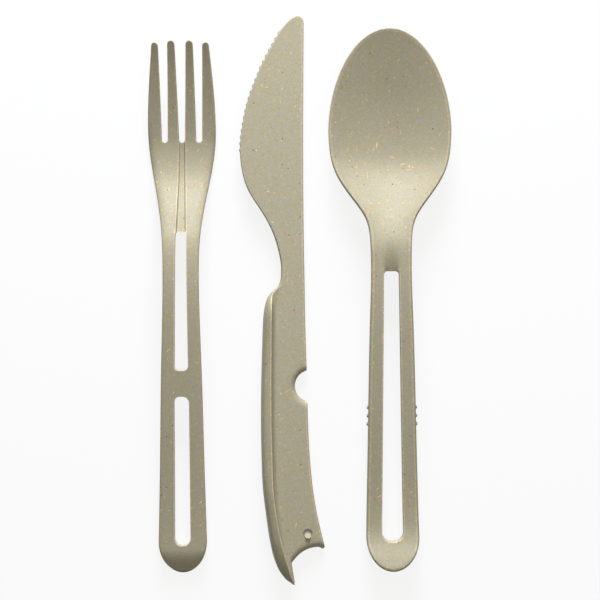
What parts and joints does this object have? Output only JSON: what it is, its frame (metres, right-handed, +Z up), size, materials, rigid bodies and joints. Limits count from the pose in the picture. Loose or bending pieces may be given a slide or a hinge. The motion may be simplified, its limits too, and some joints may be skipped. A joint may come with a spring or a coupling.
{
  "type": "travel cutlery set",
  "caption": "Moulded plastic travel cutlery lying side by side: a fork and a spoon with slotted handles and a knife with a flat notched handle plate and a raised rail.",
  "frame": {"origin": "centre of the set's bounding box, at the surface it lies on", "axes": "+X across the three pieces from the fork to the spoon, +Y along them from the ends of the handles to the heads, +Z up"},
  "size_m": [0.1052, 0.198, 0.0121],
  "materials": {
    "fibre_plastic": "satin grey-beige plastic with short golden fibres and dark specks"
  },
  "bodies": {
    "root": {"fork": "fibre_plastic", "knife": "fibre_plastic", "spoon": "fibre_plastic"}
  },
  "joints": []
}
